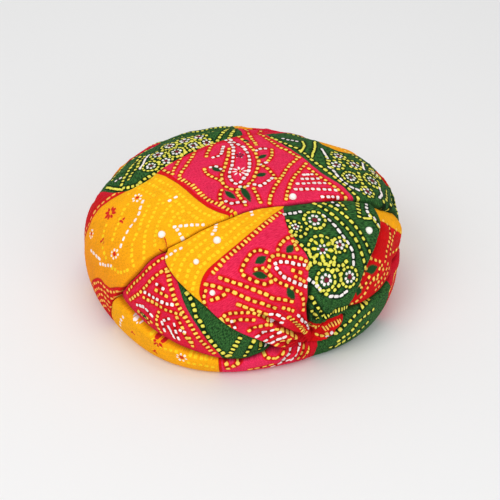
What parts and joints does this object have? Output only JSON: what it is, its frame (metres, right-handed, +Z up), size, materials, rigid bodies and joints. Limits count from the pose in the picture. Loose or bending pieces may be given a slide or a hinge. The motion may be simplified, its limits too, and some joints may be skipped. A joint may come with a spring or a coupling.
{
  "type": "tied turban pagri",
  "caption": "Round ready-tied turban of patchwork printed cotton, wound in overlapping folds with a rolled rim, a pleated gather and pearl studs, hollow for the head.",
  "frame": {"origin": "centre of the turban's box, on the surface that it rests on", "axes": "+Z up through the crown, +X along the long side, to the right as the front is faced, +Y to the back"},
  "size_m": [0.2822, 0.2538, 0.1213],
  "materials": {
    "printed_cotton": "plain-woven cotton in sewn yellow, red and green patches with a dotted tie-dye style print",
    "pearl": "white pearlised half-round studs with a soft gloss"
  },
  "bodies": {
    "root": {"under_wrap": "printed_cotton", "crown_wrap": "printed_cotton", "front_wrap": "printed_cotton", "brow_wrap": "printed_cotton", "side_wrap": "printed_cotton", "back_left_wrap": "printed_cotton", "rear_wrap": "printed_cotton", "front_rim_roll": "printed_cotton", "rear_rim_roll": "printed_cotton", "knot_tuck": "printed_cotton", "pearl_1": "pearl", "pearl_2": "pearl", "pearl_3": "pearl", "pearl_4": "pearl", "pearl_5": "pearl", "pearl_6": "pearl"}
  },
  "joints": []
}
